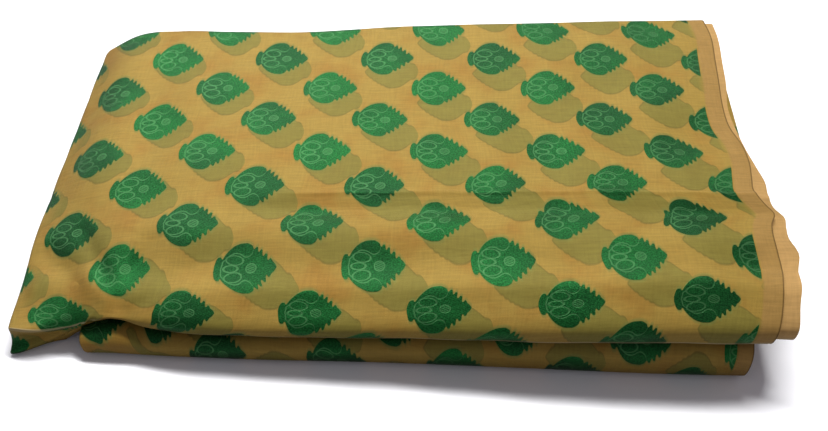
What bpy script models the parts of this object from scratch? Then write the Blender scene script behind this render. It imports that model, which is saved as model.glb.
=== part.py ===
# A folded length of brocade dress cloth, modelled as the single sheet that it is.
#
# The cloth is doubled across its width first: the fold is at the left, the two selvedges at the right.
# The doubled cloth is then laid back and forth in eight layers, as an upper and a lower bundle of four.
# The outer turn of each bundle is a round nose at the front. The two cut ends lie inside at the back.
#
# X runs along the packet, Y away from the noses, Z up.
# The origin is the middle of the packet's box, on the surface that it lies on.

from collections import namedtuple

import bpy
import bmesh
import numpy as np

MM = 0.001

# Driving sizes, in millimetres
PLY = 1.9                # thickness of one ply of cloth
PLY_GAP = 1.2            # air between the two plies of a doubled layer
LAYER_PITCH = 8.2        # from one doubled layer to the next, before the stack is pressed
LEVELS = 8
FRONT = -170.0           # the noses' furthest point, before the outline's own curve is applied
BACK = 170.0             # the back folds' furthest point, likewise
CROSS_STEPS = 11         # columns across the width of each ply
CROSS_CROWDING = 1.35    # more than 1 sets the columns closer at the left fold
MIDDLE = (4.2, 2.6, 0.0)  # middle of the packet's box in the drawing below, on the floor
CLOTH_COLOUR = (0.62, 0.38, 0.11, 1.0)

# Heights of the stack in millimetres, one row for each section across X
# upperEdge, lowerEdge and backEdge are the y that the two noses and the back folds reach there
STACK_COLUMNS = ("x", "back", "middle", "front", "lip", "upperEdge", "lowerEdge", "backEdge")
STACK = (
    (-278, 34, 32, 28, 24, -163, -166, 160),
    (-250, 46, 45, 40, 29, -161, -166, 170),
    (-205, 54, 53, 51, 42, -156, -166, 169),
    (-165, 58, 59, 56, 44, -160, -167, 164),
    (-100, 62, 63, 60, 47, -165, -168, 160),
    (0, 67, 66, 66, 54, -167, -168, 166),
    (100, 70, 68, 71, 63, -171, -170, 170),
    (200, 72, 71, 75, 71, -173, -172, 175),
    (292, 72, 71, 75, 71, -170, -171, 180),
)
HEIGHT_ROWS_Y = (-150.0, -80.0, 0.0, 150.0)   # where the lip, front, middle and back heights stand

# The doubled layers in the order in which one walks along the cloth, in millimetres
# front and back are the centres of the turns there, or the cut end's place at the back
Run = namedtuple("Run", "level front back left right_top right_under")
RUNS = (
    Run(5, -152, 158, -268, 262, 272),
    Run(6, -152, 163, -272, 266, 275),
    Run(7, -155, 163, -277, 274, 285),
    Run(4, -155, 157, -270, 270, 283),
    Run(3, -153, 157, -262, 253, 250),
    Run(0, -153, 160, -258, 243, 240),
    Run(1, -150, 160, -262, 247, 243),
    Run(2, -150, 154, -260, 250, 246),
)
RUN_STOPS = (-118.0, -72.0, -15.0, 45.0, 105.0)
TOP_RUN_STOPS = (-132.0, -108.0, -84.0, -66.0, -50.0, -20.0, 22.0, 68.0, 112.0)
NOSE_STEPS = 8
INNER_TURN_STEPS = 4

# Turns are rounded like a superellipse: 1 is a circle, less is squarer
ROUND_AT_TOP = 1.0
ROUND_AT_BOTTOM = 0.62

# Both selvedges waver along the top layer: how far each lies from its run's own right end
SELVEDGE_COLUMNS = ("y", "top", "under")
SELVEDGE = (
    (-170, -7, -4),
    (-120, 0, 1),
    (-68, 3, -1),
    (-46, -6, -6),
    (0, -4, -10),
    (50, -10, -16),
    (110, -8, -9),
    (170, -8, -9),
)

# The front left corner of the upper bundle hangs past the lower one and sinks to the floor
CORNER_START_X = -220.0
CORNER_END_X = -272.0
CORNER_START_Y = -62.0
CORNER_END_Y = -140.0
SPLIT_SHARE = 0.5        # share of the stack's height at which the bundles meet away from the front
CORNER_SINK = 0.46       # how much of that share is lost at the corner
LOWER_TUCK = 38.0        # how far the lower bundle's left end draws in at the front
UPPER_TUCK = 5.0         # the same for the upper bundle
LIP_PEAK_X = -202.0
LIP_PEAK_WIDTH = 20.0
LIP_PEAK_RISE = 0.08     # share of the stack's height that the split rises beside the corner
FRONT_SPLIT_RISE = 0.05  # likewise all along the front, where the lower bundle is the fuller one
EDGE_TAKEOVER = 0.2      # share of the height within which the lower nose's edge gives way to the upper one's

DOUBLED = 2 * PLY + PLY_GAP
STACK_HEIGHT = (LEVELS - 1) * LAYER_PITCH + DOUBLED
HALF_HEIGHT = STACK_HEIGHT / 2


def column(table, names, name):
    """One named column of a table, as an array."""
    return np.array([row[names.index(name)] for row in table], float)


def smooth_step(t):
    """0 before 0, 1 after 1, with a soft start and end."""
    t = np.clip(t, 0.0, 1.0)
    return t * t * (3 - 2 * t)


def through_points(at, places, values):
    """A soft curve through the values at the given places: a cubic in each span, level past the ends."""
    at = np.clip(at, places[0], places[-1])
    slopes = np.gradient(values, places, axis=0)
    i = np.clip(np.searchsorted(places, at, side="right") - 1, 0, len(places) - 2)
    width = places[i + 1] - places[i]
    t = (at - places[i]) / width
    rise = t * t * (3 - 2 * t)
    start = t * (1 - t) ** 2 * width
    end = t * t * (t - 1) * width
    return values[i] * (1 - rise) + values[i + 1] * rise + slopes[i] * start + slopes[i + 1] * end


def stack_height(x, y):
    """Height of the whole stack above the floor over a point of the floor."""
    places = column(STACK, STACK_COLUMNS, "x")
    rows = [through_points(x, places, column(STACK, STACK_COLUMNS, name))
            for name in ("lip", "front", "middle", "back")]
    row_y = np.array(HEIGHT_ROWS_Y)
    at = np.clip(y, row_y[0], row_y[-1])
    height = rows[0]
    for k in range(len(rows) - 1):
        share = smooth_step((at - row_y[k]) / (row_y[k + 1] - row_y[k]))
        height = height + (rows[k + 1] - rows[k]) * share
    return height


def split_share(x, y):
    """Share of the stack's height at which the two bundles meet."""
    to_corner = smooth_step((CORNER_START_X - x) / (CORNER_START_X - CORNER_END_X))
    to_front = smooth_step((CORNER_START_Y - y) / (CORNER_START_Y - CORNER_END_Y))
    peak = np.exp(-(((x - LIP_PEAK_X) / LIP_PEAK_WIDTH) ** 2))
    rise = FRONT_SPLIT_RISE * (1 - to_corner) + LIP_PEAK_RISE * peak
    return SPLIT_SHARE + (rise - CORNER_SINK * to_corner) * to_front


def press(x, y, h):
    """Moves a point of the straight stack to its place in the pressed, uneven packet."""
    top = stack_height(x, y)
    split = top * split_share(x, y)
    lower = split * h / HALF_HEIGHT
    upper = split + (top - split) * (h - HALF_HEIGHT) / HALF_HEIGHT
    places = column(STACK, STACK_COLUMNS, "x")
    upper_edge, lower_edge, back = (through_points(x, places, column(STACK, STACK_COLUMNS, name))
                                    for name in ("upperEdge", "lowerEdge", "backEdge"))
    takeover = smooth_step((h - HALF_HEIGHT) / (STACK_HEIGHT * EDGE_TAKEOVER) + 0.5)
    front = lower_edge + (upper_edge - lower_edge) * takeover
    along = (y - FRONT) / (BACK - FRONT)
    return np.stack([x, front + (back - front) * along, np.where(h > HALF_HEIGHT, upper, lower)], -1)


def level_height(level):
    return DOUBLED / 2 + level * LAYER_PITCH


def section_path():
    """Walks along the cloth and returns a row per stop: y, h and the three ends."""
    stops = []
    for n, run in enumerate(RUNS):
        forward = n % 2 == 0
        inner = TOP_RUN_STOPS if run.level == LEVELS - 1 else RUN_STOPS
        ends = (run.left, run.right_top, run.right_under)
        stops.extend((y, level_height(run.level), *ends)
                     for y in sorted((run.front, *inner, run.back), reverse=forward))
        if n + 1 < len(RUNS):
            stops.extend(turn_stops(run, RUNS[n + 1], forward))
    return np.array(stops)


def turn_stops(run, following, at_front):
    """The stops inside the turn that joins one run to the next, without its two ends."""
    start, end = level_height(run.level), level_height(following.level)
    middle = (start + end) / 2
    radius = abs(end - start) / 2
    centre_y = run.front if at_front else run.back
    outwards = -1.0 if at_front else 1.0
    steps = NOSE_STEPS if radius > LAYER_PITCH else INNER_TURN_STEPS
    stops = []
    for k in range(1, steps):
        angle = np.pi * k / steps
        blend = (1 - np.cos(angle)) / 2
        rise = np.cos(angle) * np.sign(start - end)
        roundness = ROUND_AT_BOTTOM + (ROUND_AT_TOP - ROUND_AT_BOTTOM) * (1 + rise) / 2
        y = centre_y + outwards * radius * np.sin(angle) ** roundness
        h = middle + radius * np.sign(rise) * abs(rise) ** roundness
        stops.append((y, h, *(a + (b - a) * blend for a, b in zip(run[3:], following[3:]))))
    return stops


def tangents(y, h):
    """Unit direction of travel at each stop: halfway between the two steps that meet there."""
    step = np.stack([np.diff(y), np.diff(h)], 1)
    step /= np.linalg.norm(step, axis=1, keepdims=True)
    both = np.concatenate([step[:1], step[:-1] + step[1:], step[-1:]])
    both /= np.linalg.norm(both, axis=1, keepdims=True)
    return both[:, :1], both[:, 1:]


def sheet_sides(stops):
    """The sheet's two sides as grids of points, one row per stop, from the top ply's selvedge round the
    left fold to the under ply's selvedge."""
    y, h, left, right_top, right_under = (a[:, None] for a in stops.T)
    tangent_y, tangent_h = tangents(stops[:, 0], stops[:, 1])
    edge_y = column(SELVEDGE, SELVEDGE_COLUMNS, "y")
    right_top = right_top + through_points(y, edge_y, column(SELVEDGE, SELVEDGE_COLUMNS, "top"))
    right_under = right_under + through_points(y, edge_y, column(SELVEDGE, SELVEDGE_COLUMNS, "under"))
    tucked = smooth_step((CORNER_START_Y - y) / (CORNER_START_Y - CORNER_END_Y))
    left = left + tucked * np.where(h < HALF_HEIGHT, LOWER_TUCK, UPPER_TUCK)

    fold_radius = (PLY + PLY_GAP) / 2
    share = (np.linspace(0, 1, CROSS_STEPS + 1) ** CROSS_CROWDING)[None, :]
    fold_angle = np.radians((45.0, 90.0, 135.0))[None, :]
    sides = []
    for offset in (PLY / 2, -PLY / 2):
        reach = fold_radius + offset
        fold_x = left + fold_radius
        top_x = fold_x + (right_top - fold_x) * share[:, ::-1]
        under_x = fold_x + (right_under - fold_x) * share
        turn_x = fold_x - reach * np.sin(fold_angle)
        turn_n = reach * np.cos(fold_angle) + 0 * left
        n = np.concatenate([reach + 0 * top_x, turn_n, -reach + 0 * under_x], 1)
        x = np.concatenate([top_x, turn_x, under_x], 1)
        sides.append(press(x, y + n * tangent_h, h - n * tangent_y))
    return sides


def slab_faces(rows, columns):
    """Quads of a closed slab: the outer grid, the inner grid and the rim between them."""
    index = np.arange(rows * columns).reshape(rows, columns)
    grid = np.stack([index[:-1, :-1], index[1:, :-1], index[1:, 1:], index[:-1, 1:]], -1).reshape(-1, 4)
    rim = np.concatenate([index[0, :-1], index[:-1, -1], index[-1, :0:-1], index[:0:-1, 0]])
    step = np.roll(rim, -1)
    below = rows * columns
    wall = np.stack([rim, step, step + below, rim + below], -1)
    return np.concatenate([grid, grid[:, ::-1] + below, wall]).tolist()


def cloth_material():
    material = bpy.data.materials.new("gold brocade")
    material.use_nodes = True
    shader = material.node_tree.nodes["Principled BSDF"]
    shader.inputs["Base Color"].default_value = CLOTH_COLOUR
    shader.inputs["Roughness"].default_value = 0.6
    shader.inputs["Metallic"].default_value = 0.0
    material.diffuse_color = CLOTH_COLOUR
    return material


def folded_cloth():
    stops = section_path()
    outer, inner = sheet_sides(stops)
    points = (np.concatenate([outer.reshape(-1, 3), inner.reshape(-1, 3)]) - MIDDLE) * MM
    mesh = bpy.data.meshes.new("folded_cloth")
    mesh.from_pydata(points.tolist(), [], slab_faces(*outer.shape[:2]))
    shape = bmesh.new()
    shape.from_mesh(mesh)
    bmesh.ops.recalc_face_normals(shape, faces=shape.faces)
    shape.to_mesh(mesh)
    shape.free()
    mesh.shade_smooth()
    mesh.materials.append(cloth_material())
    cloth = bpy.data.objects.new("folded_cloth", mesh)
    bpy.context.collection.objects.link(cloth)
    return cloth


for old in list(bpy.data.objects):
    bpy.data.objects.remove(old, do_unlink=True)
folded_cloth()
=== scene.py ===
# Folded length of gold brocade dress cloth with woven green bootis.
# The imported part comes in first, and the thin woven sheet takes the place of its solid.

import math
from collections import namedtuple

import bpy
import numpy as np
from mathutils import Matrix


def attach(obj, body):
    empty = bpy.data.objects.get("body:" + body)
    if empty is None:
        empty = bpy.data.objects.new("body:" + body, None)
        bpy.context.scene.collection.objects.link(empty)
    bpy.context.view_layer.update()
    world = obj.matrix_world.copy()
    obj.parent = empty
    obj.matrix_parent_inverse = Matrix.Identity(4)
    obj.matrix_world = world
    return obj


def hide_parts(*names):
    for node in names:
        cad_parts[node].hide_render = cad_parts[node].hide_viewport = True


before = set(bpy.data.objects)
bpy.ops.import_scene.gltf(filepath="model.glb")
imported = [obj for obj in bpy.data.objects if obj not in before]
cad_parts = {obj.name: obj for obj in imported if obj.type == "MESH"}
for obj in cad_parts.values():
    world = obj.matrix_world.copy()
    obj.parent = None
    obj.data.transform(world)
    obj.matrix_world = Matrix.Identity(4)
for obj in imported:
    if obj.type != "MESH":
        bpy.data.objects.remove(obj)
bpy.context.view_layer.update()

mm = 0.001


def softStep(t):
    # 0 before 0, 1 after 1, and 3tt - 2ttt between
    t = np.clip(t, 0.0, 1.0)
    return t * t * (3 - 2 * t)


def throughPoints(at, places, values):
    # a cubic in each span with the slopes that its neighbours give, level past both ends
    places, values = np.asarray(places, float), np.asarray(values, float)
    at = np.clip(at, places[0], places[-1])
    slopes = np.gradient(values, places)
    i = np.clip(np.searchsorted(places, at, side="right") - 1, 0, len(places) - 2)
    width = places[i + 1] - places[i]
    t = (at - places[i]) / width
    rise = t * t * (3 - 2 * t)
    start = t * (1 - t) ** 2 * width
    end = t * t * (t - 1) * width
    return values[i] * (1 - rise) + values[i + 1] * rise + slopes[i] * start + slopes[i + 1] * end


# The packet that the cloth is folded into, in millimetres
packet = {
    "x": (-278, -250, -205, -165, -100, 0, 100, 200, 292),
    "back": (34, 46, 54, 58, 62, 67, 70, 72, 72),          # height of the stack at y 150
    "middle": (32, 45, 53, 59, 63, 66, 68, 71, 71),        # at y 0
    "front": (28, 40, 51, 56, 60, 66, 71, 75, 75),         # at y -80
    "lip": (24, 29, 42, 44, 47, 54, 63, 71, 71),           # at y -150
    "upperEdge": (-163, -161, -156, -160, -165, -167, -171, -173, -170),   # y of the upper nose
    "lowerEdge": (-166, -166, -166, -167, -168, -168, -170, -172, -171),   # y of the lower nose
    "backEdge": (160, 170, 169, 164, 160, 166, 170, 175, 180),             # y of the back folds
    "heightRows": (("lip", -150), ("front", -80), ("middle", 0), ("back", 150)),
    "noseY": -170,            # the straight stack's ends, before the edges above bend them
    "backY": 170,
    "levels": 8,
    "layerPitch": 8.2,
    "layerHeight": 5.0,       # a doubled layer
    "plySpacing": 3.1,        # between the middles of its two plies
    "roundAtTop": 1.0,        # 1 is a round turn, less is a squarer one
    "roundAtBottom": 0.62,
    "boxMiddle": (4.2, 2.6, 0.0),
}

# How the two bundles meet, and the front left corner, where the upper one hangs down to the floor
corner = {
    "startX": -220, "endX": -272,
    "startY": -62, "endY": -140,
    "sink": 0.46,             # share of the height that the upper bundle's underside drops
    "lowerTuck": 38,          # how far each bundle draws in at the front of the left end
    "upperTuck": 2,
    "peakX": -202, "peakWidth": 20, "peakRise": 0.08,
    "frontRise": 0.05,
    "blendWidth": 5,          # the upper edge takes over from the lower one within a fifth of the height
}

# The doubled layers in the order in which one walks along the cloth
Run = namedtuple("Run", "level front back left rightTop rightUnder")
runs = (
    Run(5, -138, 158, -268, 262, 272),
    Run(6, -138, 163, -272, 266, 275),
    Run(7, -137, 163, -277, 274, 285),
    Run(4, -155, 157, -270, 270, 283),
    Run(3, -153, 157, -262, 256, 253),
    Run(0, -153, 160, -258, 254, 251),
    Run(1, -150, 160, -262, 247, 243),
    Run(2, -150, 154, -260, 250, 246),
)

# The sheet itself
cloth = {
    "flatWidth": 1118,
    "flatLength": 2630,
    "thickness": 0.45,
    "topStep": 4.2,           # spacing of the rows on the top layer, in mm
    "hiddenStep": 28.0,       # and on the layers inside
    "noseSteps": 32,          # rows round the noses and the other wide turns
    "turnSteps": 8,
    "acrossStep": 4.4,        # spacing of the columns across the top ply
    "underStep": 26.0,        # and across the under ply
    "foldAngles": (36.0, 72.0, 108.0, 144.0),  # columns round the doubling fold at the left
    "sharpFrom": 60,          # degrees
    # how the two selvedges waver along y on the top layer: y, top ply, under ply
    "selvedges": (
        (-170, -9, -6), (-150, -5, -4), (-137, -3, -1), (-122, 0, 1), (-106, 0, 5), (-92, 0, 1), (-80, 2, 2),
        (-69, 6, 3), (-62, 1, -3), (-50, -5, -5), (-36, -4, -4), (-20, -2, -7), (0, -3, -11), (25, -9, -14),
        (50, -10, -16), (80, -8, -12), (105, -6, -10), (136, -4, -8), (170, -7, -9)),
    "waverFrom": 0.7, "waverOver": 0.3,        # shares of the top ply's width, from the left fold
    "noseFade": 12,           # rows in which the top layer's own forms die away behind the nose
    # how far the pattern has drifted along x and y on the top layer, in mm, as a polynomial in
    # X = x / 280 and Y = y / 150: 1, X, Y, XY, XX, YY, XYY, YYY
    "driftReach": (280, 150), "driftY": (-170, 165),
    "driftAlong": (-0.4, -3.6, 4.6, 0.2, -2.3, -0.2, 2.8, -5.8),
    "driftAside": (-1.1, 0.5, -0.8, -4.1, 5.1, 3.6, -2.4, 2.7),
    # the row of bootis over the nose is drawn along x by "ease" from y -122 to -144, and aside by "gather"
    "easeX": (-270, -245, -195, -90, 18, 130, 240), "ease": (2.2, 3.0, 8.0, 5.8, 3.2, 1.1, 0.4),
    "easeY": (-122, -144),
    "gatherAt": (112, 134, 153, 173), "gather": (0, -3.5, 0, 3.7),
    "gatherFrom": 100, "gatherOver": 10,       # mm along the cloth
    # on the lower nose the pattern is turned and drawn out a little, and at the corner it is pulled back
    "lowerShift": -9.3, "lowerTurn": -0.132, "lowerDraw": -0.057, "lowerFixed": 206, "drawOver": 60,
    "pullX": (-205, -260), "pullY": (-110, -160), "pull": 9.0,
}

stackHeight = (packet["levels"] - 1) * packet["layerPitch"] + packet["layerHeight"]
halfHeight = stackHeight / 2


def stackTop(x, y):
    # height of the packet over the floor: four lines along x, blended softly along y
    lines = [throughPoints(x, packet["x"], packet[name]) for name, _ in packet["heightRows"]]
    rowY = [y0 for _, y0 in packet["heightRows"]]
    top = lines[0]
    for k in range(len(lines) - 1):
        top = top + (lines[k + 1] - lines[k]) * softStep((y - rowY[k]) / (rowY[k + 1] - rowY[k]))
    return top


def splitShare(x, y):
    # share of the height where the bundles meet: half, a little more at the front with a bell for the peak,
    # and near none at the corner
    toCorner = softStep((corner["startX"] - x) / (corner["startX"] - corner["endX"]))
    toFront = softStep((corner["startY"] - y) / (corner["startY"] - corner["endY"]))
    peak = np.exp(-(((x - corner["peakX"]) / corner["peakWidth"]) ** 2))
    rise = corner["frontRise"] * (1 - toCorner) + corner["peakRise"] * peak
    return 0.5 + (rise - corner["sink"] * toCorner) * toFront


def pressed(x, y, h):
    # takes a point of the straight stack to its place: heights by bundle, y between the front and back edges
    top = stackTop(x, y)
    split = top * splitShare(x, y)
    lower = split * h / halfHeight
    upper = split + (top - split) * (h - halfHeight) / halfHeight
    upperEdge, lowerEdge, back = (throughPoints(x, packet["x"], packet[name])
                                  for name in ("upperEdge", "lowerEdge", "backEdge"))
    blend = softStep((h / stackHeight - 0.5) * corner["blendWidth"] + 0.5)
    front = lowerEdge + (upperEdge - lowerEdge) * blend
    along = (y - packet["noseY"]) / (packet["backY"] - packet["noseY"])
    return np.stack([x, front + (back - front) * along, np.where(h > halfHeight, upper, lower)], -1)


def crowded(start, end, step, closerAt=(), samples=4001):
    # places from start to end about a step apart, closer by a bell curve round each (place, width, times)
    at = np.linspace(start, end, samples)
    density = np.full_like(at, 1 / step)
    for place, width, times in closerAt:
        density += (times - 1) / step * np.exp(-(((at - place) / width) ** 2))
    count = np.concatenate([[0], np.cumsum((density[1:] + density[:-1]) / 2) * (at[1] - at[0])])
    return np.interp(np.linspace(0, count[-1], int(round(count[-1])) + 1), count, at)


def turn(run, following, atFront):
    # a superellipse from one layer's height to the next. Where it starts and its left and right ends blend
    # from one run's to the next one's by a half cosine.
    start, end = (packet["layerHeight"] / 2 + r.level * packet["layerPitch"] for r in (run, following))
    radius = abs(end - start) / 2
    steps = cloth["noseSteps"] if radius > packet["layerPitch"] else cloth["turnSteps"]
    angle = np.pi * np.arange(1, steps) / steps
    blend = (1 - np.cos(angle)) / 2
    rise = np.cos(angle) * np.sign(start - end)
    roundness = packet["roundAtBottom"] + (packet["roundAtTop"] - packet["roundAtBottom"]) * (1 + rise) / 2
    first, last = (run.front, following.front) if atFront else (run.back, following.back)
    furthest = last - radius if atFront else last + radius
    base = first + (last - first) * blend
    y = base + (furthest - base) * np.sin(angle) ** roundness
    h = (start + end) / 2 + radius * np.sign(rise) * np.abs(rise) ** roundness
    ends = [a + (b - a) * blend for a, b in zip(run[3:], following[3:])]
    return np.stack([y, h, *ends], 1)


def sectionPath():
    # every row of the sheet in walking order: y, h, left end and both right ends, and the part that it is in
    rows, parts = [], []
    for n, run in enumerate(runs):
        isTop = run.level == packet["levels"] - 1
        step, closer = (cloth["topStep"], creases["closerRows"]) if isTop else (cloth["hiddenStep"], ())
        y = crowded(run.front, run.back, step, closer)
        if n % 2 == 0:
            y = y[::-1]
        h = packet["layerHeight"] / 2 + run.level * packet["layerPitch"]
        rows.append(np.stack([y, np.full_like(y, h)] + [np.full_like(y, e) for e in run[3:]], 1))
        parts.append(np.full(len(y), 2 * n))
        if n + 1 < len(runs):
            rows.append(turn(run, runs[n + 1], n % 2 == 0))
            parts.append(np.full(len(rows[-1]), 2 * n + 1))
    return np.concatenate(rows), np.concatenate(parts)


# Soft creases and hollows that the top layer shows, in millimetres
creases = {
    # place, width and how many times closer the rows or columns stand there
    "closerRows": ((-50, 5, 3.4), (-64, 9, 1.6), (-150, 14, 1.8)),
    "closerColumns": ((-272, 8, 2.2), (-215, 26, 1.5), (262, 16, 1.6)),
    "closerUnder": ((285, 16, 8.0), (-277, 14, 3.0)),
    # from x, y to x, y, with the depth (less than 0 is a ridge), the width and how far its ends fade
    "lines": (
        (-60, -49, 292, -50, -0.8, 2.1, 40),       # the old fold's crest across the top,
        (-80, -65, 300, -67, 3.2, 10.5, 60),       # the cloth dips in front of it,
        (120, -86, 300, -82, 2.0, 12.0, 50),
        (-230, -108, 300, -110, 0.9, 14.0, 40),
        (-215, -135, 300, -137, -3.1, 12.5, 20),   # and swells over the nose
        (-290, 186, 300, 189, 3.5, 26.0, 40),      # it falls away to the back folds
        (-262, -121, -222, -121, -2.4, 12.0, 14),  # at the corner it falls to the lip
        (-262, -92, -205, -150, 2.1, 8.0, 14),     # pulls that run to the lip's peak
        (-236, -78, -192, -146, 1.7, 6.0, 14),
        (-180, -96, -196, -150, 1.8, 7.0, 16),
        (-148, -116, -188, -156, 1.2, 6.0, 12),
        (-264, -104, -232, -106, 0.5, 3.0, 10),
        (-205, -84, -176, -90, 0.45, 3.0, 10),
        (258, -118, 292, -122, 0.7, 3.0, 8),       # a nip in the selvedge
        (-120, 118, 30, 128, 0.6, 16.0, 50),
        (40, 60, 210, 20, 0.7, 22.0, 60),
        (-210, 20, -40, -30, 0.6, 20.0, 60),
    ),
    "pillowHeight": 0.7,       # gentle unevenness of cloth that was folded by hand
    "pillowWidth": (52, 120),
    "pillows": 9,
    "seed": 11,
    # place on the upper nose of the fine painted highlight line along the edge above the dark gap; at the
    # corner it is the flap's lip.
    # The longer the nose counts there, on its round part and at the lip, the finer the line.
    "rim": 0.665, "rimX": (-200, -226), "rimLength": (15, 42),
    "fadeRows": 5,             # rows in which the creases fade in and out at the top layer's ends
}


# The flap at the front left corner: along x, the y and z of its lip and of its foot,
# and where its ridge crosses
flap = {
    "x": (-277, -262, -250, -238, -228, -217, -206),
    "lipY": (-155, -157, -155.5, -153, -152.5, -150.5, -152),
    "lipZ": (23, 24, 23, 23, 25, 28, 31),
    "footY": (-160, -158, -152.5, -146, -140, -141, -146),
    "footZ": (2.6, 2.6, 2.6, 3, 8, 16, 22),
    "ridgeAt": (1.02, 0.86, 0.68, 0.50, 0.32, 0.14, 0.0),      # 0 at the lip and 1 at the foot
    "startX": -203, "endX": -228,
    "lipPlace": 0.26, "footPlace": 0.84,       # places on the turn, 0 at its top and 1 at its underside
    "hollow": 3.0, "ridge": 4.2, "ridgeWidth": 0.13,
    "takeOver": 3,                             # the flap's form is full a third of the way to lip or foot
    "spread": 8, "spreadX": (-235, -272),      # its left end stands upright over a narrower layer
}


def cornerFlap(points, middle, n, place):
    # the corner's turn: its middle is drawn to a straight line from lip to foot, hollowed by half a sine,
    # with a bell for the ridge. Each ply lies n off that, square to it; both ends blend into the round turn.
    x = points[..., 0]
    lipY, lipZ, footY, footZ, ridgeAt = (throughPoints(x, flap["x"], flap[name])
                                         for name in ("lipY", "lipZ", "footY", "footZ", "ridgeAt"))
    down = (place - flap["lipPlace"]) / (flap["footPlace"] - flap["lipPlace"])
    hanging = np.clip(down, 0, 1)
    ridge = flap["ridge"] * np.exp(-(((down - ridgeAt) / flap["ridgeWidth"]) ** 2))
    y = lipY + (footY - lipY) * hanging + flap["hollow"] * np.sin(np.pi * hanging) - ridge
    target = np.stack([y, lipZ + (footZ - lipZ) * hanging], -1)
    share = np.minimum(place / flap["lipPlace"], 1) * np.minimum((1 - place) / (1 - flap["footPlace"]), 1)
    drawn = middle + share[..., None] * (target - middle)
    step = np.gradient(drawn, axis=0)
    step /= np.linalg.norm(step, axis=2, keepdims=True)
    drawn += n[:, None] * np.stack([step[..., 1], -step[..., 0]], -1)
    toLeft = softStep((flap["startX"] - x) / (flap["startX"] - flap["endX"]))
    weight = toLeft * softStep(share * flap["takeOver"])
    moved = points.copy()
    moved[..., 1:] += weight[..., None] * (drawn - moved[..., 1:])
    startX, endX = flap["spreadX"]
    moved[..., 0] -= flap["spread"] * softStep((x - startX) / (endX - startX)) * hanging * weight
    return moved


def unevenness(x, y):
    # each line is a bell across it times a soft fade past its ends, and the pillows are a sum of slanted
    # sine waves
    height = np.zeros_like(x)
    for x0, y0, x1, y1, depth, width, fade in creases["lines"]:
        length = math.hypot(x1 - x0, y1 - y0)
        alongX, alongY = (x1 - x0) / length, (y1 - y0) / length
        along = (x - x0) * alongX + (y - y0) * alongY
        across = (y - y0) * alongX - (x - x0) * alongY
        ends = softStep((along + fade) / fade) * softStep((length + fade - along) / fade)
        height -= depth * ends * np.exp(-((across / width) ** 2))
    chance = np.random.default_rng(creases["seed"])
    for _ in range(creases["pillows"]):
        heading = chance.uniform(0, np.pi)
        wave = chance.uniform(*creases["pillowWidth"])
        phase = chance.uniform(0, 2 * np.pi)
        height += (creases["pillowHeight"] / math.sqrt(creases["pillows"])
                   * np.sin(2 * np.pi * (x * np.cos(heading) + y * np.sin(heading)) / wave + phase))
    return height


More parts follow.
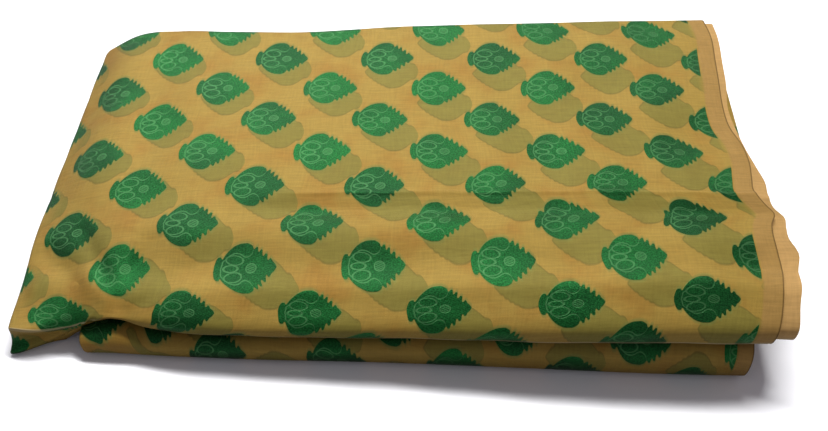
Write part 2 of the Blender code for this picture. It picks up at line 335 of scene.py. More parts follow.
def foldedSheet():
    # the middle of the sheet: rows along the path, columns from the top ply's selvedge round the left fold
    # to the under ply's selvedge. A ply lies half the ply spacing off the layer's middle, along its normal.
    rows, parts = sectionPath()
    y, h, left, rightTop, rightUnder = (a[:, None] for a in rows.T)
    step = np.diff(rows[:, :2], axis=0)
    step /= np.linalg.norm(step, axis=1, keepdims=True)
    tangent = np.concatenate([step[:1], step[:-1] + step[1:], step[-1:]])
    tangent /= np.linalg.norm(tangent, axis=1, keepdims=True)
    topPart = 2 * [run.level for run in runs].index(packet["levels"] - 1)
    topRun = runs[topPart // 2]
    nose = np.flatnonzero(parts == topPart + 1)
    row = np.arange(len(parts))[:, None]
    wavering = softStep((nose[-1] + cloth["noseFade"] / 2 - row) / cloth["noseFade"])
    waverY, topWaver, underWaver = np.array(cloth["selvedges"], float).T
    topWaver = throughPoints(y, waverY, topWaver) * wavering
    underWaver = throughPoints(y, waverY, underWaver) * wavering
    tucked = softStep((corner["startY"] - y) / (corner["startY"] - corner["endY"]))
    left = left + tucked * np.where(h < halfHeight, corner["lowerTuck"], corner["upperTuck"])

    reach = packet["plySpacing"] / 2
    topX = crowded(topRun.left, topRun.rightTop, cloth["acrossStep"], creases["closerColumns"])
    topShare = ((topX - topRun.left) / (topRun.rightTop - topRun.left))[::-1]
    foldAngle = np.radians(cloth["foldAngles"])
    underX = crowded(topRun.left, topRun.rightUnder, cloth["underStep"], creases["closerUnder"])
    underShare = (underX - topRun.left) / (topRun.rightUnder - topRun.left)
    foldX = left + reach
    atSelvedge = softStep((topShare - cloth["waverFrom"]) / cloth["waverOver"])
    x = np.concatenate([
        foldX + (rightTop - foldX) * topShare + topWaver * atSelvedge,
        foldX - reach * np.sin(foldAngle),
        foldX + (rightUnder - foldX) * underShare + underWaver * underShare], 1)
    n = np.concatenate([
        np.full(len(topShare), reach), reach * np.cos(foldAngle), np.full(len(underShare), -reach)])
    points = pressed(x, y + n * tangent[:, 1:], h - n * tangent[:, :1])
    place = (nose - nose[0] + 1)[:, None] / (len(nose) + 1)
    middle = pressed(x[nose], y[nose], h[nose])[..., 1:]
    points[nose] = cornerFlap(points[nose], middle, n, place)

    # the top layer and its nose carry the creases, both plies alike; a place well inside the top ply
    # says which way is up
    normal = np.cross(np.gradient(points, axis=0), np.gradient(points, axis=1))
    normal /= np.linalg.norm(normal, axis=2, keepdims=True)
    outwards = np.where(n[None, :, None] > 0, normal, -normal)
    insideRow, insideColumn = np.argmax(parts == topPart) + 20, 40
    outwards = outwards * np.sign(outwards[insideRow, insideColumn, 2])
    weight = np.isin(parts, (topPart, topPart + 1)).astype(float)
    fadeRows = creases["fadeRows"]
    smooth = np.ones(fadeRows) / fadeRows
    weight = np.convolve(np.pad(weight, fadeRows // 2, "edge"), smooth, "valid")[:, None, None]
    points = points + outwards * weight * unevenness(points[..., 0], points[..., 1])[..., None]

    # the flat cloth's two measures, drawn out on the lower nose and pulled back at the corner
    u, v = clothWidth(points, len(topShare)), clothLength(points, parts, topPart)
    after = softStep((row - nose[-1]) / cloth["noseFade"])
    u = u + after * cloth["lowerDraw"] * (u - cloth["lowerFixed"]) * softStep(u / cloth["drawOver"])
    (x0, x1), (y0, y1) = cloth["pullX"], cloth["pullY"]
    pull = softStep((points[..., 0] - x0) / (x1 - x0)) * softStep((points[..., 1] - y0) / (y1 - y0))
    v = v + cloth["pull"] * pull * (row <= nose[-1])

    # how far each place on the nose is from the painted highlight line along the lip, where the nose counts
    # as rimLength
    startX, endX = creases["rimX"]
    toCorner = softStep((points[..., 0] - startX) / (endX - startX))
    rimPlace = creases["rim"] + (flap["lipPlace"] - creases["rim"]) * toCorner
    noseRim, lipRim = creases["rimLength"]
    alongNose = (row - nose[0] + 1) / (len(nose) + 1)
    fromRim = (alongNose - rimPlace) * (noseRim + (lipRim - noseRim) * toCorner)

    # the drift of the pattern: its polynomial and what the row over the nose adds
    reachX, reachY = cloth["driftReach"]
    X, Y = points[..., 0] / reachX, np.clip(points[..., 1], *cloth["driftY"]) / reachY
    terms = np.stack([np.ones_like(X), X, Y, X * Y, X * X, Y * Y, X * Y * Y, Y ** 3], -1)
    y0, y1 = cloth["easeY"]
    atNose = softStep((points[..., 1] - y0) / (y1 - y0))
    eased = throughPoints(points[..., 0], cloth["easeX"], cloth["ease"]) * atNose
    v0 = v - cloth["pull"] * pull
    gathered = throughPoints(v0, cloth["gatherAt"], cloth["gather"])
    gathered = gathered * softStep((v0 - cloth["gatherFrom"]) / cloth["gatherOver"])
    drift = np.stack([terms @ np.array(cloth["driftAlong"]) + eased,
                      terms @ np.array(cloth["driftAside"]) + gathered], -1)
    return points, u, v, fromRim, drift * (1 - after)[..., None]


def clothWidth(points, topColumns):
    # how far across the cloth each point is, in mm: the length of its row from the top ply's selvedge, scaled
    # so that the left fold is at half the width, and likewise from there to the under ply's selvedge
    step = np.linalg.norm(np.diff(points, axis=1), axis=2)
    far = np.concatenate([np.zeros_like(step[:, :1]), np.cumsum(step, axis=1)], 1)
    fold = topColumns + 1
    toFold = far[:, fold:fold + 1]
    half = cloth["flatWidth"] / 2
    underPly = half + (far - toFold) / (far[:, -1:] - toFold) * half
    return np.where(far <= toFold, far / toFold * half, underPly)


def clothLength(points, parts, topPart):
    # how far along the cloth each point is, in mm: the real length of its column, except that hidden layers
    # count the same for every column, from 0 at the row of bootis nearest the middle. Behind the hidden
    # layers it is shifted, and turned by so much per mm of x.
    step = np.linalg.norm(np.diff(points, axis=0), axis=2)
    upperNose, lowerNose = topPart + 1, topPart + 5
    shown = np.isin(parts[1:], (topPart, upperNose, lowerNose))[:, None]
    step = np.where(shown, step, step.mean(axis=1, keepdims=True))
    v = np.concatenate([np.zeros_like(step[:1]), np.cumsum(step, axis=0)])
    lastTop = np.flatnonzero(parts == topPart)[-1]
    v += -(points[lastTop, :, 1] - booti["rowY"]) - v[lastTop]
    hidden = np.flatnonzero(np.isin(parts, (upperNose + 1, lowerNose - 1)))
    after = softStep((np.arange(len(parts)) - hidden[0]) / (hidden[-1] - hidden[0]))[:, None]
    return v + after * (cloth["lowerShift"] + cloth["lowerTurn"] * points[..., 0])


# The woven repeat, in millimetres on the flat cloth, and the colours of the cloth
booti = {
    "pitch": 94.4,            # between bootis of a row
    "rowStep": 38.3,          # between rows; every other row is moved by half a pitch
    "rowY": -1.0,             # y of a row on the top layer
    "firstU": 51.3,           # from the selvedge to the first booti of that row
    "length": 48.2,
    "plainBand": 15.2,        # the selvedge has no bootis
    # half width along the booti from its calyx to its tip, in lengths
    "outline": (
        (0.0, -0.05), (0.004, 0.11), (0.015, 0.17), (0.04, 0.197), (0.07, 0.195), (0.088, 0.167),
        (0.1, 0.164), (0.115, 0.203), (0.15, 0.28), (0.2, 0.348), (0.26, 0.395), (0.34, 0.424),
        (0.42, 0.426), (0.48, 0.405), (0.53, 0.366), (0.55, 0.328), (0.565, 0.318), (0.59, 0.352),
        (0.61, 0.350), (0.632, 0.292), (0.65, 0.265), (0.675, 0.304), (0.695, 0.296), (0.715, 0.220),
        (0.735, 0.192), (0.765, 0.231), (0.79, 0.218), (0.81, 0.143), (0.83, 0.115), (0.855, 0.148),
        (0.875, 0.135), (0.905, 0.092), (0.94, 0.062), (1.0, -0.02)),
    # how it looks through the upper ply
    "plainOutline": (
        (0.0, -0.02), (0.04, 0.19), (0.12, 0.24), (0.26, 0.39), (0.42, 0.42), (0.6, 0.34),
        (0.8, 0.2), (0.94, 0.06), (1.0, -0.02)),
    "lean": 0.2,              # the teeth point towards the tip
    "soft": 0.009,            # half width of the body's soft edge
    # from nothing to full, in lengths off the outline; less than 0 is outside it
    "haloAt": (-0.075, -0.008),
    "contourAt": (0.03, 0.006),                # on both sides of it
    # the vein that parts the side lobes from the middle, and between which places along it shows
    "vein": (
        (0.0, 0.1), (0.13, 0.112), (0.19, 0.165), (0.26, 0.232), (0.34, 0.26), (0.41, 0.244),
        (0.46, 0.207), (0.51, 0.189), (0.56, 0.205), (0.60, 0.25), (0.625, 0.317), (1.0, 0.5)),
    "veinStarts": (0.13, 0.12), "veinEnds": (0.62, 0.64),
    "calyxLine": 0.118, "calyxReach": (0.12, 0.15),
    # rings: centre along and aside, half length, half width and tilt in degrees; the last one is hatched
    "rings": ((0.325, 0.140, 0.135, 0.080, -8), (0.27, 0.0, 0.11, 0.051, 0), (0.59, 0.0, 0.078, 0.072, 0)),
    "ringThinness": 1.2,
    "hatchAt": (0.95, 0.75),
    "lineWidth": 0.011, "lineFade": (1.3, 0.5),
    # where the under ply's bootis show through the top ply, along and aside: mm, and mm per mm of the cloth
    "seenAlong": (9.0, 0.045),
    "seenAside": (-27.1, 0.035),
    "seenSoft": 0.025, "seenPlain": 0.75,      # softer, and most of the way to the plain outline
}

# The yarns, in metres or times per metre on the flat cloth
yarn = {
    "thread": 0.00055,
    "streak": (50, 560),      # along itself and across
    "streakShares": (0.6, 0.4),
    "patches": 26.0,
    "grain": 760.0,
    "ribPitch": 0.0034, "ribSlant": 2.2,
}

colours = {
    "gold": (0.289, 0.190, 0.038, 1),
    "amber": (0.270, 0.150, 0.027, 1),
    "selvedge": (0.300, 0.178, 0.050, 1),
    # the under ply's selvedge strip, painted lighter for the light it catches
    "underSelvedgeLit": (0.430, 0.258, 0.090, 1),
    # a painted shadow line at the top ply's edge
    "edgeShadow": (0.085, 0.045, 0.012, 1),
    # bootis run from the darker green to the green: partly a random tone, partly painted sheen
    "green": (0.011, 0.106, 0.023, 1),
    "unlitGreen": (0.010, 0.068, 0.018, 1),
    "vein": (0.080, 0.230, 0.085, 1),
    "halo": (0.150, 0.165, 0.040, 1),
    "olive": (0.160, 0.144, 0.028, 1),
    # a painted shadow line round the under ply's bootis
    "ghostShade": (0.100, 0.085, 0.018, 1),
    # the next colour is a painted highlight along the lip of the fold
    "lipHighlight": (0.420, 0.340, 0.190, 1),
    "table": (0.95, 0.95, 0.97, 1),
    "tableBounce": (0.34, 0.34, 0.35, 1),
    "sheenTint": (1.0, 0.8, 0.5, 1),
}

# How strongly each effect shows: two numbers are where it starts and ends, or its darkest and lightest tone
finish = {
    # fades at the selvedge's inner line and at the doubling fold, in metres
    "bandEdge": 0.0002, "bandFade": 0.002, "sheerFade": 0.004, "pliesFade": 0.02,
    "edgeShadowAt": (0.0013, 0.0005), "edgeShadowLine": 0.75,  # a painted shadow line at the top ply's very edge, in metres from it
    "amberAt": (0.42, 0.7),
    "ghostBody": 0.78, "ghostShadeLine": 0.5,            # the under ply's bootis, and a painted shadow line round them
    "halo": 0.7,
    "streakAt": (0.25, 0.75), "streakTones": (0.74, 1.24),
    "dotsAt": (0.32, 0.68), "dotTones": (0.66, 1.36),
    "ribTones": (0.88, 1.1),
    "patchTone": 1.1, "bootiTone": 0.35, "greenAt": (0.5, 0.95),       # how much place and booti count
    "glint": 0.5, "veins": 0.55,
    "lipHighlightAt": (1.1, 0.4), "lipHighlight": 0.65,                # the painted highlight line along the lip, of the distance in fromRim
    "roughness": 0.5, "bootiRoughness": -0.15,         # what a booti adds to the ground's
    "metallic": 0.35, "bootiMetallic": 0.45,
    "sheen": 0.04, "sheenRoughness": 0.4, "specular": 0.15,
    "streakRelief": 1.2, "threadRelief": 0.5, "bootiRelief": 0.8, "veinRelief": 0.5,
    "bump": 0.55, "bumpDistance": 0.00025,
}


def feed(tree, socket, value):
    # a number or colour is set on the socket, anything else is linked to it
    if isinstance(value, (int, float, tuple)):
        socket.default_value = value
    else:
        tree.links.new(value, socket)


def calc(tree, operation, *values):
    # one step of arithmetic
    node = tree.nodes.new("ShaderNodeMath")
    node.operation = operation
    for socket, value in zip(node.inputs, values):
        feed(tree, socket, value)
    return node.outputs[0]


def ramp(tree, value, low, high, smooth=True):
    # 0 at low and 1 at high; high may be the lower number
    node = tree.nodes.new("ShaderNodeMapRange")
    node.interpolation_type = "SMOOTHSTEP" if smooth else "LINEAR"
    feed(tree, node.inputs["Value"], value)
    feed(tree, node.inputs["From Min"], low)
    feed(tree, node.inputs["From Max"], high)
    return node.outputs[0]


def mixed(tree, share, first, second, blend="MIX"):
    # the first colour at share 0 and the second one, or its blend with the first, at share 1
    node = tree.nodes.new("ShaderNodeMix")
    node.data_type, node.blend_type = "RGBA", blend
    for name, value in (("Factor_Float", share), ("A_Color", first), ("B_Color", second)):
        feed(tree, next(s for s in node.inputs if s.identifier == name), value)
    return next(s for s in node.outputs if s.identifier == "Result_Color")


def toned(tree, colour, share, tones):
    # the colour times a grey that runs from the first tone at share 0 to the second one at 1
    dark, light = ((tone, tone, tone, 1) for tone in tones)
    return mixed(tree, 1.0, colour, mixed(tree, share, dark, light), "MULTIPLY")


def noise(tree, vector, scale, detail, rough, seed):
    # soft noise around 0.5; the seed picks another one of the same kind
    node = tree.nodes.new("ShaderNodeTexNoise")
    node.noise_dimensions = "4D"
    feed(tree, node.inputs["Vector"], vector)
    node.inputs["Scale"].default_value = scale
    node.inputs["Detail"].default_value = detail
    node.inputs["Roughness"].default_value = rough
    node.inputs["W"].default_value = seed
    return node.outputs[0]


def stretched(tree, vector, x, y):
    # the place with its two measures counted x and y times
    node = tree.nodes.new("ShaderNodeVectorMath")
    node.operation = "MULTIPLY"
    feed(tree, node.inputs[0], vector)
    node.inputs[1].default_value = (x, y, 1)
    return node.outputs[0]


def curve(tree, value, points, lift=0.1):
    # a line through the given points, lifted while it is in the node, which holds nothing below 0
    node = tree.nodes.new("ShaderNodeFloatCurve")
    line = node.mapping.curves[0]
    for _ in range(len(points) - 2):
        line.points.new(0.5, 0.5)
    for place, (x, y) in zip(line.points, points):
        place.location = (x, y + lift)
        place.handle_type = "AUTO_CLAMPED"
    node.mapping.update()
    feed(tree, node.inputs["Value"], value)
    return calc(tree, "SUBTRACT", node.outputs[0], lift)


def newGroup(name, inputs, outputs):
    # a node group with these sockets; its outputs are masks or values
    tree = bpy.data.node_groups.new(name, "ShaderNodeTree")
    for label, kind, value in inputs:
        socket = tree.interface.new_socket(label, in_out="INPUT", socket_type=kind)
        if value is not None:
            socket.default_value = value
    for label in outputs:
        tree.interface.new_socket(label, in_out="OUTPUT", socket_type="NodeSocketFloat")
    return tree, tree.nodes.new("NodeGroupInput").outputs, tree.nodes.new("NodeGroupOutput").inputs


def placed(tree, group, **values):
    # the group's node in a tree, with these values on its sockets
    node = tree.nodes.new("ShaderNodeGroup")
    node.node_tree = group
    for name, value in values.items():
        feed(tree, node.inputs[name], value)
    return node.outputs


def latticeGroup():
    # which booti a place belongs to: columns half a pitch apart along U, every other one moved by a row
    # along V. Its number is any sum that gives each booti its own.
    tree, given, out = newGroup("bootiLattice", (
        ("Cloth", "NodeSocketVector", None), ("ShiftU", "NodeSocketFloat", 0.0),
        ("ShiftV", "NodeSocketFloat", 0.0), ("Turn", "NodeSocketFloat", 1.0)),
        ("Along", "Aside", "Number"))
    pitch, rowStep, length = (booti[k] * mm for k in ("pitch", "rowStep", "length"))
    parts = tree.nodes.new("ShaderNodeSeparateXYZ")
    tree.links.new(given["Cloth"], parts.inputs[0])
    u = calc(tree, "SUBTRACT", calc(tree, "ADD", parts.outputs["X"], given["ShiftU"]), booti["firstU"] * mm)
    column = calc(tree, "ROUND", calc(tree, "DIVIDE", u, pitch / 2))
    along = calc(tree, "SUBTRACT", u, calc(tree, "MULTIPLY", column, pitch / 2))
    odd = calc(tree, "FLOORED_MODULO", column, 2.0)
    v = calc(tree, "ADD", parts.outputs["Y"], given["ShiftV"])
    v = calc(tree, "SUBTRACT", v, calc(tree, "MULTIPLY", odd, rowStep))
    row = calc(tree, "ROUND", calc(tree, "DIVIDE", v, rowStep * 2))
    aside = calc(tree, "SUBTRACT", v, calc(tree, "MULTIPLY", row, rowStep * 2))
    along = calc(tree, "MULTIPLY", calc(tree, "DIVIDE", along, -length), given["Turn"])
    tree.links.new(calc(tree, "ADD", along, 0.5), out["Along"])
    tree.links.new(calc(tree, "DIVIDE", calc(tree, "ABSOLUTE", aside), length), out["Aside"])
    number = calc(tree, "MULTIPLY_ADD", row, 7.31, calc(tree, "MULTIPLY", column, 3.77))
    tree.links.new(number, out["Number"])
    return tree


def shapeGroup():
    # the booti: inside where the half width is more than the distance from its middle line. Its lines are
    # where the distance from the nearest of the vein, the calyx line and the rings is small.
    tree, given, out = newGroup("bootiShape", (
        ("Along", "NodeSocketFloat", 0.0), ("Aside", "NodeSocketFloat", 0.0),
        ("Soft", "NodeSocketFloat", booti["soft"]), ("Plain", "NodeSocketFloat", 0.0)),
        ("Body", "Veins", "Rim", "Contour", "Hatch"))
    along, aside = given["Along"], given["Aside"]
    leaning = calc(tree, "SUBTRACT", along, calc(tree, "MULTIPLY", aside, booti["lean"]))
    outline = curve(tree, leaning, booti["outline"])
    plain = calc(tree, "SUBTRACT", curve(tree, leaning, booti["plainOutline"]), outline)
    inside = calc(tree, "SUBTRACT", calc(tree, "MULTIPLY_ADD", given["Plain"], plain, outline), aside)
    body = ramp(tree, inside, calc(tree, "MULTIPLY", given["Soft"], -1.0), given["Soft"])
    tree.links.new(body, out["Body"])
    tree.links.new(ramp(tree, calc(tree, "ABSOLUTE", inside), *booti["contourAt"]), out["Contour"])
    outside = ramp(tree, inside, *booti["haloAt"])
    tree.links.new(calc(tree, "MULTIPLY", outside, calc(tree, "SUBTRACT", 1.0, body)), out["Rim"])

    place = tree.nodes.new("ShaderNodeCombineXYZ")
    tree.links.new(along, place.inputs["X"])
    tree.links.new(aside, place.inputs["Y"])
    far = calc(tree, "ABSOLUTE", calc(tree, "SUBTRACT", aside, curve(tree, along, booti["vein"])))
    for reach in (booti["veinEnds"], booti["veinStarts"]):
        far = calc(tree, "ADD", far, ramp(tree, along, *reach))
    calyx = calc(tree, "ABSOLUTE", calc(tree, "SUBTRACT", leaning, booti["calyxLine"]))
    calyx = calc(tree, "ADD", calyx, ramp(tree, aside, *booti["calyxReach"]))
    far = calc(tree, "MINIMUM", far, calyx)
    for centreAlong, centreAside, halfLength, halfWidth, tilt in booti["rings"]:
        mapping = tree.nodes.new("ShaderNodeMapping")
        mapping.vector_type = "TEXTURE"
        tree.links.new(place.outputs[0], mapping.inputs["Vector"])
        mapping.inputs["Location"].default_value = (centreAlong, centreAside, 0)
        mapping.inputs["Rotation"].default_value = (0, 0, math.radians(tilt))
        mapping.inputs["Scale"].default_value = (halfLength, halfWidth, 1)
        size = tree.nodes.new("ShaderNodeVectorMath")
        size.operation = "LENGTH"
        tree.links.new(mapping.outputs[0], size.inputs[0])
        radius = size.outputs["Value"]
        ring = calc(tree, "ABSOLUTE", calc(tree, "SUBTRACT", radius, 1.0))
        thinness = min(halfLength, halfWidth) * booti["ringThinness"]
        far = calc(tree, "MINIMUM", far, calc(tree, "MULTIPLY", ring, thinness))
    veins = ramp(tree, far, *(booti["lineWidth"] * share for share in booti["lineFade"]))
    tree.links.new(calc(tree, "MULTIPLY", veins, body), out["Veins"])
    tree.links.new(ramp(tree, radius, *booti["hatchAt"]), out["Hatch"])
    return tree


def weaveGroup():
    # fine warp and weft as the product of two crossing waves, streaks of uneven yarns that run along each,
    # broad patches, slanting ribs and fine grain
    tree, given, out = newGroup("weave", (
        ("Cloth", "NodeSocketVector", None), ("Thread", "NodeSocketFloat", yarn["thread"])),
        ("Height", "Streaks", "Patches", "Ribs", "Grain"))
    parts = tree.nodes.new("ShaderNodeSeparateXYZ")
    tree.links.new(given["Cloth"], parts.inputs[0])
    turnsPer = calc(tree, "DIVIDE", 2 * math.pi, given["Thread"])
    warp = calc(tree, "SINE", calc(tree, "MULTIPLY", parts.outputs["X"], turnsPer))
    weft = calc(tree, "SINE", calc(tree, "MULTIPLY", parts.outputs["Y"], turnsPer))
    height = calc(tree, "MULTIPLY_ADD", calc(tree, "MULTIPLY", warp, weft), 0.5, 0.5)
    long, fine = yarn["streak"]
    along = noise(tree, stretched(tree, given["Cloth"], long, fine), 1.0, detail=3.0, rough=0.65, seed=1.0)
    across = noise(tree, stretched(tree, given["Cloth"], fine, long), 1.0, detail=3.0, rough=0.65, seed=2.0)
    alongShare, acrossShare = yarn["streakShares"]
    streaks = calc(tree, "ADD", calc(tree, "MULTIPLY", along, alongShare),
                   calc(tree, "MULTIPLY", across, acrossShare))
    patches = noise(tree, given["Cloth"], yarn["patches"], detail=3.0, rough=0.55, seed=3.0)
    slant = calc(tree, "MULTIPLY_ADD", parts.outputs["Y"], yarn["ribSlant"], parts.outputs["X"])
    ribs = calc(tree, "SINE", calc(tree, "MULTIPLY", slant, 2 * math.pi / yarn["ribPitch"]))
    grain = noise(tree, given["Cloth"], yarn["grain"], detail=1.0, rough=0.6, seed=4.0)
    tree.links.new(height, out["Height"])
    tree.links.new(streaks, out["Streaks"])
    tree.links.new(patches, out["Patches"])
    tree.links.new(ribs, out["Ribs"])
    tree.links.new(grain, out["Grain"])
    return tree


def brocadeMaterial(lattice, shape, weave):
    # the ground, the under ply's bootis over it, then the bootis and the painted highlight line along the
    # lip, each mixed in by its mask
    material = bpy.data.materials.new("goldBrocade")
    material.use_nodes = True
    tree = material.node_tree
    shader = tree.nodes["Principled BSDF"]
    where = tree.nodes.new("ShaderNodeUVMap")
    where.uv_map = "flatCloth"
    flat = where.outputs[0]
    parts = tree.nodes.new("ShaderNodeSeparateXYZ")
    tree.links.new(flat, parts.inputs[0])

    # plain band at both selvedges
    width, band = cloth["flatWidth"] * mm, booti["plainBand"] * mm
    fromEdge = calc(tree, "MINIMUM", parts.outputs["X"], calc(tree, "SUBTRACT", width, parts.outputs["X"]))
    figured = ramp(tree, fromEdge, band - finish["bandEdge"], band + finish["bandEdge"])
    topPly = ramp(tree, parts.outputs["X"], width / 2, width / 2 - finish["pliesFade"])

    # the bootis of this ply, and those of the under ply
    drift = tree.nodes.new("ShaderNodeAttribute")
    drift.attribute_name = "drift"
    pattern = tree.nodes.new("ShaderNodeVectorMath")
    pattern.operation = "ADD"
    tree.links.new(flat, pattern.inputs[0])
    tree.links.new(drift.outputs["Vector"], pattern.inputs[1])
    near = placed(tree, lattice, Cloth=pattern.outputs[0])
    form = placed(tree, shape, Along=near["Along"], Aside=near["Aside"])
    body = calc(tree, "MULTIPLY", form["Body"], figured)
    veins = calc(tree, "MULTIPLY", form["Veins"], figured)
    shift, perLength = booti["seenAlong"]
    shiftU = calc(tree, "MULTIPLY_ADD", parts.outputs["Y"], perLength, shift * mm)
    shift, perLength = booti["seenAside"]
    shiftV = calc(tree, "MULTIPLY_ADD", parts.outputs["X"], perLength, shift * mm)
    below = placed(tree, lattice, Cloth=pattern.outputs[0], ShiftU=shiftU, ShiftV=shiftV, Turn=-1.0)
    ghost = placed(tree, shape, Along=below["Along"], Aside=below["Aside"],
                   Soft=booti["seenSoft"], Plain=booti["seenPlain"])
    inBand = ramp(tree, fromEdge, band - finish["sheerFade"], band + finish["sheerFade"])
    sheer = calc(tree, "MULTIPLY", topPly, inBand)
    ghostBody = calc(tree, "MULTIPLY", ghost["Body"], sheer)
    ghostBody = calc(tree, "MULTIPLY", ghostBody, finish["ghostBody"])
    # a painted shadow line round each of the under ply's bootis
    ghostShadeMask = calc(tree, "MULTIPLY", ghost["Contour"], sheer)
    ghostShadeMask = calc(tree, "MULTIPLY", ghostShadeMask, finish["ghostShadeLine"])

    # the golden ground with its selvedges
    threads = placed(tree, weave, Cloth=flat)
    amber = ramp(tree, threads["Patches"], *finish["amberAt"])
    ground = mixed(tree, amber, colours["gold"], colours["amber"])
    # the under ply's strip is painted lighter than the top ply's selvedge, for the light it catches
    edging = mixed(tree, topPly, colours["underSelvedgeLit"], colours["selvedge"])
    # a painted shadow line along the top ply's very edge
    edgeShadowLine = ramp(tree, parts.outputs["X"], *finish["edgeShadowAt"])
    edgeShadowLine = calc(tree, "MULTIPLY", edgeShadowLine, finish["edgeShadowLine"])
    edging = mixed(tree, edgeShadowLine, edging, colours["edgeShadow"])
    ground = mixed(tree, ramp(tree, fromEdge, band, band - finish["bandFade"]), ground, edging)
    ground = mixed(tree, ghostBody, ground, colours["olive"])
    ground = mixed(tree, ghostShadeMask, ground, colours["ghostShade"])
    halo = calc(tree, "MULTIPLY", calc(tree, "MULTIPLY", form["Rim"], figured), finish["halo"])
    ground = mixed(tree, halo, ground, colours["halo"])
    streakTone = ramp(tree, threads["Streaks"], *finish["streakAt"], smooth=False)
    ground = toned(tree, ground, streakTone, finish["streakTones"])

    # the green bootis, each a little lighter or darker than the next: partly a random tone, partly painted
    # sheen of the silk floats
    chance = tree.nodes.new("ShaderNodeTexWhiteNoise")
    chance.noise_dimensions = "1D"
    tree.links.new(near["Number"], chance.inputs["W"])
    tone = calc(tree, "MULTIPLY", chance.outputs["Value"], finish["bootiTone"])
    tone = calc(tree, "MULTIPLY_ADD", threads["Patches"], finish["patchTone"], tone)
    green = mixed(tree, ramp(tree, tone, *finish["greenAt"]), colours["unlitGreen"], colours["green"])
    ribTone = ramp(tree, threads["Ribs"], -1.0, 1.0)
    dots = ramp(tree, threads["Grain"], *finish["dotsAt"])
    green = toned(tree, green, dots, finish["dotTones"])
    green = toned(tree, green, ribTone, finish["ribTones"])
    glint = calc(tree, "MULTIPLY", calc(tree, "MULTIPLY", form["Hatch"], ribTone), finish["glint"])
    green = mixed(tree, glint, green, colours["vein"])
    green = mixed(tree, calc(tree, "MULTIPLY", veins, finish["veins"]), green, colours["vein"])
    colour = mixed(tree, body, ground, green)

    # the painted highlight line along the lip
    highlightDistance = tree.nodes.new("ShaderNodeAttribute")
    highlightDistance.attribute_name = "fromRim"
    lipHighlight = ramp(tree, calc(tree, "ABSOLUTE", highlightDistance.outputs["Fac"]), *finish["lipHighlightAt"])
    colour = mixed(tree, calc(tree, "MULTIPLY", lipHighlight, finish["lipHighlight"]), colour, colours["lipHighlight"])
    tree.links.new(colour, shader.inputs["Base Color"])

    roughness = calc(tree, "MULTIPLY_ADD", body, finish["bootiRoughness"], finish["roughness"])
    tree.links.new(roughness, shader.inputs["Roughness"])
    metallic = calc(tree, "MULTIPLY_ADD", body, finish["bootiMetallic"], finish["metallic"])
    tree.links.new(metallic, shader.inputs["Metallic"])
    shader.inputs["Sheen Weight"].default_value = finish["sheen"]
    shader.inputs["Sheen Roughness"].default_value = finish["sheenRoughness"]
    shader.inputs["Sheen Tint"].default_value = colours["sheenTint"]
    shader.inputs["Specular IOR Level"].default_value = finish["specular"]

    # the bump: streaks, threads and the bootis' floats, with the veins sunk
    relief = calc(tree, "MULTIPLY", threads["Height"], finish["threadRelief"])
    relief = calc(tree, "MULTIPLY_ADD", threads["Streaks"], finish["streakRelief"], relief)
    relief = calc(tree, "ADD", relief, calc(tree, "MULTIPLY", body, finish["bootiRelief"]))
    relief = calc(tree, "SUBTRACT", relief, calc(tree, "MULTIPLY", veins, finish["veinRelief"]))
    bump = tree.nodes.new("ShaderNodeBump")
    bump.inputs["Strength"].default_value = finish["bump"]
    bump.inputs["Distance"].default_value = finish["bumpDistance"]
    tree.links.new(relief, bump.inputs["Height"])
    tree.links.new(bump.outputs["Normal"], shader.inputs["Normal"])
    return material


def slabObject(name, middle, u, v, fromRim, drift, thickness):
    # two grids half the thickness off the middle one, along the cross product of its two directions,
    # and a wall of quads round their edge; the flat cloth in metres is the UV map
    rows, columns = middle.shape[:2]
    normal = np.cross(np.gradient(middle, axis=0), np.gradient(middle, axis=1))
    normal /= np.linalg.norm(normal, axis=2, keepdims=True)
    points = np.concatenate([(middle + side * thickness / 2 * normal).reshape(-1, 3) for side in (1, -1)])
    index = np.arange(rows * columns).reshape(rows, columns)
    quads = np.stack([index[:-1, :-1], index[1:, :-1], index[1:, 1:], index[:-1, 1:]], -1).reshape(-1, 4)
    edge = np.concatenate([index[0, :-1], index[:-1, -1], index[-1, :0:-1], index[:0:-1, 0]])
    after = np.roll(edge, -1)
    below = rows * columns
    wall = np.stack([edge, after, after + below, edge + below], -1)
    faces = np.concatenate([quads, quads[:, ::-1] + below, wall])
    mesh = bpy.data.meshes.new(name)
    mesh.from_pydata(points, [], faces)
    corners = faces.reshape(-1) % below
    layer = mesh.uv_layers.new(name="flatCloth")
    layer.data.foreach_set("uv", np.stack([u.reshape(-1)[corners], v.reshape(-1)[corners]], 1).reshape(-1))
    rim = mesh.attributes.new("fromRim", "FLOAT", "POINT")
    rim.data.foreach_set("value", np.tile(fromRim.reshape(-1), 2))
    lie = mesh.attributes.new("drift", "FLOAT_VECTOR", "POINT")
    drift = np.concatenate([drift.reshape(-1, 2), np.zeros((below, 1))], 1)
    lie.data.foreach_set("vector", np.tile(drift, (2, 1)).reshape(-1))
    mesh.shade_smooth()
    mesh.set_sharp_from_angle(angle=math.radians(cloth["sharpFrom"]))
    mesh.update()
    piece = bpy.data.objects.new(name, mesh)
    bpy.context.collection.objects.link(piece)
    return piece


print("cloth: folding the sheet")
sheetPoints, sheetU, sheetV, sheetRim, sheetDrift = foldedSheet()
brocade = slabObject("brocade_cloth", (sheetPoints - packet["boxMiddle"]) * mm,
                     sheetU * mm, sheetV * mm, sheetRim, sheetDrift * mm, cloth["thickness"] * mm)
print("cloth: rows and columns", sheetPoints.shape[:2], "faces", len(brocade.data.polygons))

print("cloth: weaving the material")
brocade.data.materials.append(brocadeMaterial(latticeGroup(), shapeGroup(), weaveGroup()))
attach(brocade, "root")
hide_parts("folded_cloth")

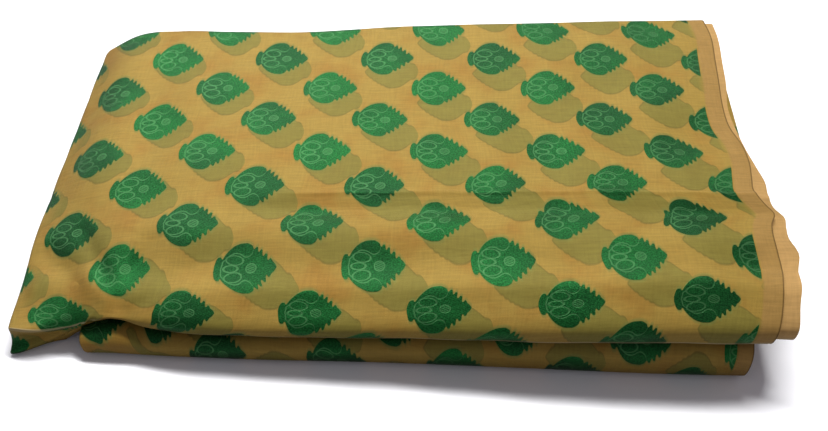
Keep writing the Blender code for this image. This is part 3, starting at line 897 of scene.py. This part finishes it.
# The table, the light and the camera
studio = {
    "floorHalf": 3.0,
    "tableRoughness": 0.6, "tableSpecular": 0.2,
    "worldLight": 0.25,
    "worldTint": (1.0, 0.95, 1.04, 1),
    # name, place, width and height of the softbox, watts, whether it lights and whether it glints
    "softboxes": (
        ("keySoftbox", (0.16, 0.44, 1.74), (1.2, 0.22), 52, True, False),
        ("glossSoftbox", (-0.55, 1.36, 1.30), (2.3, 0.6), 38, False, True),
    ),
    "cameraPlace": (0.0291, -0.5848, 0.602),
    "cameraTurn": (43.5, 0.0, 2.0),
    "lens": 43.478, "sensor": 36,
}


def tableTop():
    # a square with a plain pale finish; seen as pale, it throws less light up under the packet
    half = studio["floorHalf"]
    mesh = bpy.data.meshes.new("floor")
    corners = [(-half, -half, 0), (half, -half, 0), (half, half, 0), (-half, half, 0)]
    mesh.from_pydata(corners, [], [(0, 1, 2, 3)])
    floor = bpy.data.objects.new("floor", mesh)
    bpy.context.collection.objects.link(floor)
    material = bpy.data.materials.new("paleTable")
    material.use_nodes = True
    tree = material.node_tree
    shader = tree.nodes["Principled BSDF"]
    seen = tree.nodes.new("ShaderNodeLightPath").outputs["Is Camera Ray"]
    tree.links.new(mixed(tree, seen, colours["tableBounce"], colours["table"]), shader.inputs["Base Color"])
    shader.inputs["Roughness"].default_value = studio["tableRoughness"]
    shader.inputs["Specular IOR Level"].default_value = studio["tableSpecular"]
    mesh.materials.append(material)
    return floor


def softbox(name, place, size, watts, lights, glints):
    # an area light that looks at the origin
    data = bpy.data.lights.new(name, "AREA")
    data.shape = "RECTANGLE"
    data.size, data.size_y = size
    data.energy = watts
    light = bpy.data.objects.new(name, data)
    light.location = place
    light.visible_diffuse, light.visible_glossy = lights, glints
    light.rotation_euler = (-light.location).to_track_quat("-Z", "Y").to_euler()
    bpy.context.collection.objects.link(light)


print("studio: floor, light and camera")
tableTop()
for box in studio["softboxes"]:
    softbox(*box)
scene = bpy.context.scene
scene.world = bpy.data.worlds.new("studioWorld")
scene.world.use_nodes = True
background = scene.world.node_tree.nodes["Background"]
background.inputs["Color"].default_value = studio["worldTint"]
background.inputs["Strength"].default_value = studio["worldLight"]
scene.view_settings.view_transform = "Standard"

cameraData = bpy.data.cameras.new("camera")
cameraData.lens = studio["lens"]
cameraData.sensor_width = studio["sensor"]
camera = bpy.data.objects.new("camera", cameraData)
camera.location = studio["cameraPlace"]
camera.rotation_euler = [math.radians(a) for a in studio["cameraTurn"]]
bpy.context.collection.objects.link(camera)
scene.camera = camera
